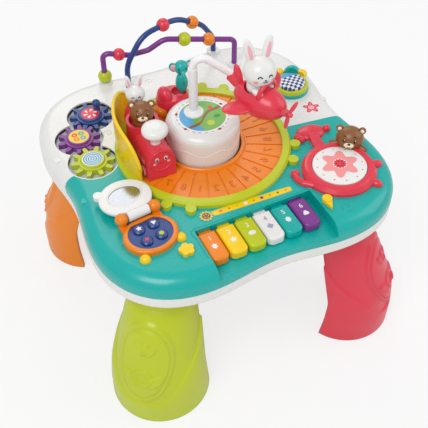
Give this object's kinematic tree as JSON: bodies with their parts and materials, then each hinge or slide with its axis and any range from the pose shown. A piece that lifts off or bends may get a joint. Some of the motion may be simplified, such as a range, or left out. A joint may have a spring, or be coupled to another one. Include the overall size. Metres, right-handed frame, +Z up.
{
  "type": "musical activity table",
  "caption": "Toddler's musical activity table on splayed legs: train carousel with a plane, piano keys, drum, play phone, gears, spinner and a bead maze.",
  "frame": {"origin": "on the floor, under the middle of the four lobed table top", "axes": "+Z up; the piano keys face -Y; +X to the right as seen from the piano side"},
  "size_m": [0.4364, 0.4364, 0.4486],
  "materials": {
    "blue_paint": "glossy paint over steel rod",
    "blue_plastic": "moulded, satin gloss",
    "board": "solder resist",
    "brown_plastic": "moulded, satin gloss",
    "cell_steel": "plated",
    "clear_frost": "frosted translucent",
    "clear_yellow": "tinted translucent lens",
    "dark_plastic": "moulded, satin gloss",
    "green_plastic": "moulded, satin gloss",
    "grey_plastic": "moulded, satin gloss",
    "lime_plastic": "moulded, satin gloss",
    "mirror": "silvered plastic sheet",
    "orange_plastic": "moulded, satin gloss",
    "purple_paint": "glossy paint over steel rod",
    "purple_plastic": "moulded, satin gloss",
    "red_plastic": "moulded, satin gloss",
    "rubber": "moulded silicone",
    "steel": "zinc plated",
    "teal_plastic": "moulded, satin gloss",
    "white_plastic": "moulded, satin gloss",
    "yellow_plastic": "moulded, satin gloss"
  },
  "bodies": {
    "table": {"base_shell": "white_plastic", "back_cover": "white_plastic", "front_cover": "teal_plastic", "leg_front_left": "lime_plastic", "leg_front_right": "red_plastic", "leg_back_left": "orange_plastic", "leg_back_right": "purple_plastic", "track_rim": "lime_plastic", "track_disc": "orange_plastic", "guard_wall": "yellow_plastic", "gear_tray": "grey_plastic", "maze_wire_purple": "purple_paint", "maze_wire_blue": "blue_paint", "phone_frame": "orange_plastic", "phone_pad": "blue_plastic", "drum_ring": "red_plastic", "drum_bear": "brown_plastic", "spinner_base": "teal_plastic", "spinner_rim": "lime_plastic", "spinner_ears": "yellow_plastic", "indicator_lenses": "clear_yellow", "electronics": "board", "rubber_domes": "rubber", "batteries": "cell_steel", "battery_door": "white_plastic", "steel_fasteners": "steel"},
    "carousel": {"carousel_hub": "grey_plastic", "hill": "white_plastic", "clear_arm": "clear_frost", "plane_body": "red_plastic", "pilot_rabbit": "white_plastic", "locomotive": "red_plastic", "chimney": "white_plastic", "train_figures": "white_plastic", "wagon": "red_plastic"},
    "propeller": {"propeller": "red_plastic"},
    "gear_blue": {"gear_blue": "blue_plastic"},
    "gear_purple": {"gear_purple": "purple_plastic"},
    "gear_green": {"gear_green": "green_plastic"},
    "phone_lid": {"phone_lid": "white_plastic", "phone_mirror": "mirror"},
    "drum_head": {"drum_head": "white_plastic"},
    "spinner": {"spinner_disc": "blue_plastic"},
    "power_slider": {"power_slider": "dark_plastic"},
    "phone_button_1": {"phone_button_1": "blue_plastic"},
    "phone_button_2": {"phone_button_2": "blue_plastic"},
    "phone_button_3": {"phone_button_3": "blue_plastic"},
    "phone_button_4": {"phone_button_4": "blue_plastic"},
    "piano_key_1": {"piano_key_1": "orange_plastic"},
    "piano_key_2": {"piano_key_2": "yellow_plastic"},
    "piano_key_3": {"piano_key_3": "lime_plastic"},
    "piano_key_4": {"piano_key_4": "white_plastic"},
    "piano_key_5": {"piano_key_5": "teal_plastic"},
    "piano_key_6": {"piano_key_6": "purple_plastic"},
    "bead_green_foot": {"bead_green_foot": "lime_plastic"},
    "bead_red_ball": {"bead_red_ball": "red_plastic"},
    "bead_green_top": {"bead_green_top": "lime_plastic"},
    "bead_orange_top": {"bead_orange_top": "orange_plastic"},
    "bead_red_arch": {"bead_red_arch": "red_plastic"},
    "bead_orange_arch": {"bead_orange_arch": "orange_plastic"}
  },
  "joints": [
    {"name": "carousel_turn", "type": "hinge", "parent": "table", "child": "carousel", "pos_m": [-0.0096, 0.0034, 0.275], "axis": [0, 0, 1], "continuous": true},
    {"name": "propeller_spin", "type": "hinge", "parent": "carousel", "child": "propeller", "pos_m": [0.05947, -0.08768, 0.36], "axis": [0.4067, -0.9135, 0], "continuous": true},
    {"name": "gear_blue_turn", "type": "hinge", "parent": "table", "child": "gear_blue", "pos_m": [-0.12503, 0.12772, 0.26], "axis": [0, 0, 1], "continuous": true},
    {"name": "gear_purple_turn", "type": "hinge", "parent": "table", "child": "gear_purple", "pos_m": [-0.1554, 0.088, 0.26], "axis": [0, 0, 1], "continuous": true},
    {"name": "gear_green_turn", "type": "hinge", "parent": "table", "child": "gear_green", "pos_m": [-0.15366, 0.03803, 0.26], "axis": [0, 0, 1], "continuous": true},
    {"name": "phone_lid_fold", "type": "hinge", "parent": "table", "child": "phone_lid", "pos_m": [-0.1396, -0.0876, 0.2765], "axis": [0.9936, 0.1132, 0], "range_deg": [0, 176]},
    {"name": "phone_button_1_press", "type": "slide", "parent": "table", "child": "phone_button_1", "axis": [0, 0, -1], "range_m": [0, 0.0015], "stiffness_N_per_m": 200, "springref_m": -0.001},
    {"name": "phone_button_2_press", "type": "slide", "parent": "table", "child": "phone_button_2", "axis": [0, 0, -1], "range_m": [0, 0.0015], "stiffness_N_per_m": 200, "springref_m": -0.001},
    {"name": "phone_button_3_press", "type": "slide", "parent": "table", "child": "phone_button_3", "axis": [0, 0, -1], "range_m": [0, 0.0015], "stiffness_N_per_m": 200, "springref_m": -0.001},
    {"name": "phone_button_4_press", "type": "slide", "parent": "table", "child": "phone_button_4", "axis": [0, 0, -1], "range_m": [0, 0.0015], "stiffness_N_per_m": 200, "springref_m": -0.001},
    {"name": "piano_key_1_press", "type": "hinge", "parent": "table", "child": "piano_key_1", "pos_m": [-0.0725, -0.128, 0.2515], "axis": [1, 0, 0], "range_deg": [0, 2], "stiffness_Nm_per_rad": 0.5, "springref_deg": -4.58},
    {"name": "piano_key_2_press", "type": "hinge", "parent": "table", "child": "piano_key_2", "pos_m": [-0.0473, -0.128, 0.2515], "axis": [1, 0, 0], "range_deg": [0, 2], "stiffness_Nm_per_rad": 0.5, "springref_deg": -4.58},
    {"name": "piano_key_3_press", "type": "hinge", "parent": "table", "child": "piano_key_3", "pos_m": [-0.0221, -0.128, 0.2515], "axis": [1, 0, 0], "range_deg": [0, 2], "stiffness_Nm_per_rad": 0.5, "springref_deg": -4.58},
    {"name": "piano_key_4_press", "type": "hinge", "parent": "table", "child": "piano_key_4", "pos_m": [0.0031, -0.128, 0.2515], "axis": [1, 0, 0], "range_deg": [0, 2], "stiffness_Nm_per_rad": 0.5, "springref_deg": -4.58},
    {"name": "piano_key_5_press", "type": "hinge", "parent": "table", "child": "piano_key_5", "pos_m": [0.0283, -0.128, 0.2515], "axis": [1, 0, 0], "range_deg": [0, 2], "stiffness_Nm_per_rad": 0.5, "springref_deg": -4.58},
    {"name": "piano_key_6_press", "type": "hinge", "parent": "table", "child": "piano_key_6", "pos_m": [0.0535, -0.128, 0.2515], "axis": [1, 0, 0], "range_deg": [0, 2], "stiffness_Nm_per_rad": 0.5, "springref_deg": -4.58},
    {"name": "drum_head_press", "type": "slide", "parent": "table", "child": "drum_head", "axis": [0, 0, -1], "range_m": [0, 0.003], "stiffness_N_per_m": 400, "springref_m": -0.003},
    {"name": "spinner_spin", "type": "hinge", "parent": "table", "child": "spinner", "pos_m": [0.1579, 0.0588, 0.272], "axis": [0, 0, 1], "continuous": true},
    {"name": "bead_green_foot_slide", "type": "slide", "parent": "table", "child": "bead_green_foot", "axis": [0, 0, 1], "range_m": [0, 0.018]},
    {"name": "bead_red_ball_spin", "type": "hinge", "parent": "table", "child": "bead_red_ball", "pos_m": [-0.05597, 0.18513, 0.3078], "axis": [0.9454, -0.2038, -0.2545], "continuous": true},
    {"name": "bead_green_top_slide", "type": "slide", "parent": "table", "child": "bead_green_top", "axis": [0.9649, -0.208, -0.1605], "range_m": [-0.009, 0.007]},
    {"name": "bead_orange_top_slide", "type": "slide", "parent": "table", "child": "bead_orange_top", "axis": [0.9649, -0.208, -0.1605], "range_m": [-0.007, 0.015]},
    {"name": "bead_red_arch_spin", "type": "hinge", "parent": "table", "child": "bead_red_arch", "pos_m": [0.01021, 0.17551, 0.34372], "axis": [0.977, 0.1856, 0.1047], "continuous": true},
    {"name": "bead_orange_arch_spin", "type": "hinge", "parent": "table", "child": "bead_orange_arch", "pos_m": [0.05951, 0.18488, 0.32864], "axis": [0.8392, 0.1594, -0.5199], "continuous": true},
    {"name": "power_slider_shift", "type": "slide", "parent": "table", "child": "power_slider", "axis": [1, 0, 0], "range_m": [0, 0.006]}
  ],
  "couplings": [
    {"joint": "gear_purple_turn", "follows": "gear_blue_turn", "ratio": -1},
    {"joint": "gear_green_turn", "follows": "gear_blue_turn", "ratio": 1}
  ]
}
